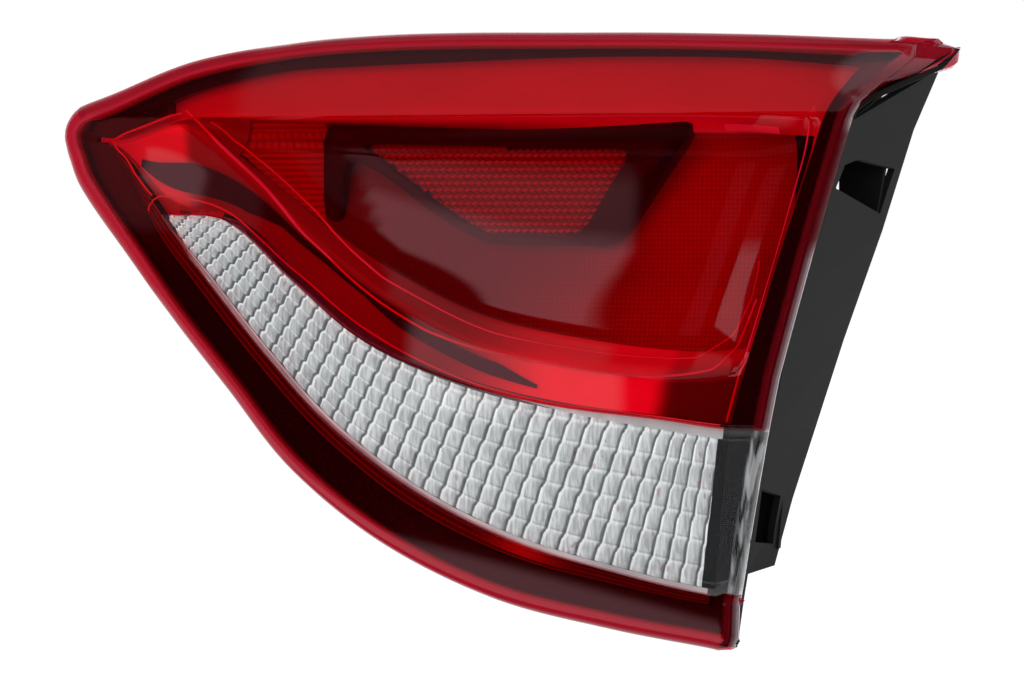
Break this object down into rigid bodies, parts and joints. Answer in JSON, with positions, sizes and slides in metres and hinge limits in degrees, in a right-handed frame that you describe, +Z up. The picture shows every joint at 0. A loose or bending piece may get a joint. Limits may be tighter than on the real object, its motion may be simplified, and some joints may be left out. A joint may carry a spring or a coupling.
{
  "type": "tail light cluster",
  "caption": "Rear lamp cluster with a dished red lens, a clear reversing window, a reflex reflector, bulb holders and mounting studs.",
  "frame": {"origin": "root of the main mounting stud, on the plane that meets the car body", "axes": "+X outboard towards the car's flank, +Y forward into the body along the studs, +Z up"},
  "size_m": [0.3341, 0.11, 0.2159],
  "materials": {
    "red_lens": "transparent red acrylic",
    "clear_lens": "transparent clear acrylic",
    "seal_rubber": "soft matt",
    "bezel_black": "satin dark",
    "red_optic": "moulded pillows",
    "clear_optic": "moulded flutes",
    "metallised": "vacuum-metallised",
    "housing_black": "fine-grained",
    "gasket_foam": "closed-cell foam",
    "bulb_glass": "clear",
    "holder_plastic": "grey nylon",
    "holder_seal": "silicone",
    "contact_brass": "tinned",
    "stud_steel": "zinc-plated",
    "vent_grey": "fine matt"
  },
  "bodies": {
    "root": {"outer_lens": "red_lens", "reverse_window": "clear_lens", "lens_seal": "seal_rubber", "bezel": "bezel_black", "pillow_optic": "red_optic", "reflex_frame": "bezel_black", "reflex_reflector": "red_optic", "tail_reflector": "metallised", "reverse_optic": "clear_optic", "reverse_reflector": "metallised", "housing": "housing_black", "body_gasket": "gasket_foam", "stop_bulb": "bulb_glass", "tail_bulb": "bulb_glass", "reverse_bulb": "bulb_glass", "stop_holder": "holder_plastic", "tail_holder": "holder_plastic", "reverse_holder": "holder_plastic", "stop_holder_seal": "holder_seal", "tail_holder_seal": "holder_seal", "reverse_holder_seal": "holder_seal", "contact_blades": "contact_brass", "mounting_studs": "stud_steel", "boss_seals": "gasket_foam", "vent_caps": "vent_grey", "reflector_screws": "stud_steel"}
  },
  "joints": []
}
